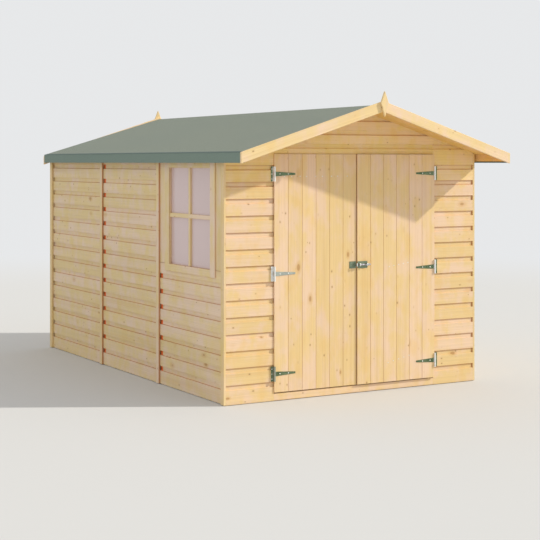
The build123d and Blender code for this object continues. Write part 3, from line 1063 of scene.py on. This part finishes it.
# Doors: six tongued and grooved boards a leaf, chamfered where they meet, nailed through to three
# ledges and two braces behind. The leaves' edges are shifted a few millimetres to fit the photograph.
leaf_boards = 6
left_edge_shift = -0.0005
right_edge_shift = -0.0055
hinge_edge_shift = 0.004
head_shift = 0.003
foot_lift = 0.003
leaf_gap = 0.0004
leaf_chamfer = 0.0018
leaf_edge_stain_and_shade = 0.4
ledge_arris = 0.002
for side, node, name in (
    (-1, "door_left_boards", "leaf_boards_left"),
    (1, "door_right_boards", "leaf_boards_right"),
):
    low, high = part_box(node)
    low.x += right_edge_shift if side > 0 else -hinge_edge_shift
    high.x += left_edge_shift if side < 0 else hinge_edge_shift
    high.z += head_shift
    low.z += foot_lift
    width = (high.x - low.x) / leaf_boards
    middle = (low.z + high.z) / 2
    leaf = plank(low, (low.x + width - leaf_gap, high.y, high.z), name)
    chamfer(leaf, lambda edge: abs(middle_of(edge).z - middle) < near_middle, leaf_chamfer)
    # The board edges are darkened: the joints in their own colour, and the meeting edge also with
    # painted shade.
    stain_and_shade_edges(leaf, (0, 1, 0), leaf_edge_stain_and_shade)
    repeat(leaf, leaf_boards, (width, 0, 0))
    fit(leaf, planed_pine, "pine", [node])
for node, name in (
    ("door_left_ledges", "ledges_left"),
    ("door_left_braces", "braces_left"),
    ("door_right_ledges", "ledges_right"),
    ("door_right_braces", "braces_right"),
):
    dress(node, name, ledge_arris, sawn_pine)

# The greens of the plates and straps are a painted reflection of green surroundings, and the white is a
# painted highlight where the metal catches the light.
painted_green_reflection_dull = (0.100, 0.155, 0.078, 1)
painted_green_reflection_pale = (0.175, 0.235, 0.135, 1)
spangle_zinc = (0.31, 0.38, 0.26, 1)
painted_highlight_zinc = (0.94, 0.95, 0.95, 1)
zinc, tree = empty_material("zinc_plate")
place = wired(tree, "ShaderNodeTexCoord", {}, output="Object")
spangle = wired(tree, "ShaderNodeTexVoronoi", {"Vector": place, "Scale": 160.0}, output="Color")
cloudy = wired(tree, "ShaderNodeTexNoise", {"Vector": place, "Scale": 22.0, "Detail": 3.0})
grains = tree.nodes.new("ShaderNodeSeparateColor")
tree.links.new(spangle, grains.inputs[0])
painted_shine = wired(tree, "ShaderNodeAttribute", {}, output="Fac", attribute_name="painted_shine")
metal = blended(tree, soft_step(tree, cloudy, 0.35, 0.65), painted_green_reflection_dull, painted_green_reflection_pale)
metal = blended(tree, soft_step(tree, grains.outputs[0], 0.5, 1.0, 0.0, 0.35), metal, spangle_zinc)
metal = blended(tree, painted_shine, metal, painted_highlight_zinc)
shader = wired(
    tree,
    "ShaderNodeBsdfPrincipled",
    {
        "Base Color": metal,
        "Metallic": soft_step(tree, painted_shine, 0.0, 1.0, 1.0, 0.45),
        "Roughness": soft_step(tree, cloudy, 0.3, 0.7, 0.32, 0.5),
    },
)
show(tree, shader)


def bright_metal(name, dull, bright, metallic):
    """Plain bright metal, a little cloudy."""
    material, tree = empty_material(name)
    place = wired(tree, "ShaderNodeTexCoord", {}, output="Object")
    cloudy = wired(tree, "ShaderNodeTexNoise", {"Vector": place, "Scale": 60.0, "Detail": 3.0})
    metal = blended(tree, soft_step(tree, cloudy, 0.35, 0.65), dull, bright)
    roughness = soft_step(tree, cloudy, 0.3, 0.7, 0.25, 0.4)
    inputs = {"Base Color": metal, "Metallic": metallic, "Roughness": roughness}
    show(tree, wired(tree, "ShaderNodeBsdfPrincipled", inputs))
    return material


bright_zinc = bright_metal("bright_zinc", (0.74, 0.73, 0.72, 1), (0.82, 0.81, 0.79, 1), metallic=0.35)
rod_steel = bright_metal("rod_steel", (0.40, 0.39, 0.43, 1), (0.54, 0.52, 0.57, 1), metallic=0.6)


def stud_head(name, radius, rise, sides):
    """A low domed head on the origin, facing -Y, with a socket in its middle."""
    ring_width = radius * 0.35
    dome_rise = rise * 0.4
    socket_depth = rise * 0.5
    bpy.ops.object.select_all(action="DESELECT")
    bpy.ops.mesh.primitive_cylinder_add(
        vertices=sides,
        radius=radius,
        depth=rise,
        location=(0, -rise / 2, 0),
        rotation=(math.radians(90), 0, 0),
    )
    head = bpy.context.object
    head.name = name
    bpy.ops.object.transform_apply(location=True, rotation=True, scale=True)
    mark(head, "FACE", lambda face: face.normal.y < -0.9)
    bpy.ops.mesh.inset(thickness=ring_width)
    bpy.ops.transform.translate(value=(0, -dome_rise, 0))
    bpy.ops.mesh.inset(thickness=ring_width)
    bpy.ops.transform.translate(value=(0, socket_depth, 0))
    bpy.ops.object.mode_set(mode="OBJECT")
    return head


def set_out(pattern, places, name, body):
    """Bright copies of a small pattern piece at many places, as one piece on a body."""
    copies = []
    for spot in places:
        copy = bpy.data.objects.new(name, pattern.data.copy())
        bpy.context.scene.collection.objects.link(copy)
        copy.data.transform(Matrix.Translation(spot))
        copies.append(copy)
    row = joined(copies, name)
    row.data.materials.clear()
    row.data.materials.append(bright_zinc)
    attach(row, body)


nail_head = stud_head("nail_head", radius=0.0036, rise=0.0010, sides=8)
nail_row_height = 1.484
nails_across = (-0.574, -0.519, -0.454, -0.403, -0.332, -0.278, -0.205, -0.156, -0.078)
left_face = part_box("door_left_boards")[0].y
spots = [(place, left_face, nail_row_height) for place in nails_across]
set_out(nail_head, spots, "door_left_nails", "door_left")
right_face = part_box("door_right_boards")[0].y
nails_a_row = 5
brace_nails = (
    (Vector((0.261, 0.0, 0.855)), Vector((0.421, 0.0, 0.878))),
    (Vector((0.252, 0.0, 0.191)), Vector((0.430, 0.0, 0.229))),
)
spots = []
for start, end in brace_nails:
    for index in range(nails_a_row):
        spot = start.lerp(end, index / (nails_a_row - 1))
        spots.append((spot.x, right_face, spot.z))
set_out(nail_head, spots, "door_right_nails", "door_right")

# Tee hinges and bolt: zinc-plated steel, a plate screwed to the wall and a tapered strap screwed to the
# leaf, with the strap's knuckle between the plate's two on one pin. The bolt, its plate and its keep
# sit on the leaves, and some plate edges are moved to where the photograph has them.
pin_place = 0.651
hinge_heights = (0.181, 0.841, 1.501)
hinge_half_height = 0.08
low_knuckle_top = 0.3
shine_left = (-0.6605, -0.6435)
shine_right = (0.6435, 0.6585)
shine_fade = 0.0003
loop_rise = 0.003
smooth_within = math.radians(30)
edge_moves = {
    "hinge_plates_left": (-0.677, 0.004),
    "hinge_plates_right": (0.677, 0.007),
    "bolt_plate": (0.004, -0.005),
}


def painted_shine_at(node, co):
    """Painted highlight on the metal: the bolt's loops, the middle left hinge and the other hinges'
    knuckles are painted bright where they reflect the light.

    The lowest left knuckle gets less of it than the rest.
    """
    if node in ("bolt_plate", "bolt_keep"):
        return 0.6 if co.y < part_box(node)[1].y - loop_rise else 0.08
    if co.x < 0 and abs(co.z - hinge_heights[1]) < hinge_half_height:
        return 0.85 if co.x < shine_left[1] else 0.38
    start, end = shine_left if co.x < 0 else shine_right
    if not start < co.x < end:
        return 0.0
    return 0.3 if co.x < 0 and co.z < low_knuckle_top else 0.95


for node, name in (
    ("hinge_plates_left", "plates_left"),
    ("hinge_plates_right", "plates_right"),
    ("door_left_straps", "straps_left"),
    ("door_right_straps", "straps_right"),
    ("bolt_plate", "bolt_mount"),
    ("bolt_keep", "keep"),
    ("bolt_rod", "rod"),
):
    part = whole_copy(node, name)
    if node in edge_moves:
        edge, move = edge_moves[node]
        slide(part, lambda point: abs(point.co.x - edge) < on_edge, (move, 0, 0))
    if "plates" in node or "straps" in node:
        for edge in shine_left + shine_right:
            bisect(part, (edge + shine_fade, 0, 0), (1, 0, 0))
            bisect(part, (edge - shine_fade, 0, 0), (1, 0, 0))
    alone(part)
    bpy.ops.object.shade_smooth_by_angle(angle=smooth_within)
    store(part, "painted_shine", [painted_shine_at(node, point.co) for point in part.data.vertices])
    fit(part, rod_steel if node == "bolt_rod" else zinc, "zinc", [node])

screw_head = stud_head("screw_head", radius=0.0042, rise=0.0016, sides=12)
hinge_metal = 0.0025
strap_screw_reaches = (0.041, 0.106)
plate_screw_reach = 0.016
plate_screw_rises = (-0.033, 0.0, 0.033)
front_wall_face = -1.588
plate_face = front_wall_face - hinge_metal
for side, leaf, wall in (
    (-1, "door_left", "hinge_plates_left"),
    (1, "door_right", "hinge_plates_right"),
):
    strap_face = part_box(f"{leaf}_boards")[0].y - hinge_metal
    pin = side * pin_place
    spots = [
        (pin - side * reach, strap_face, height)
        for height in hinge_heights
        for reach in strap_screw_reaches
    ]
    set_out(screw_head, spots, f"{leaf}_strap_screws", leaf)
    spots = [
        (pin + side * plate_screw_reach, plate_face, height + rise)
        for height in hinge_heights
        for rise in plate_screw_rises
    ]
    set_out(screw_head, spots, f"{wall}_screws", "shed")

for pattern in (nail_head, screw_head):
    bpy.data.objects.remove(pattern)
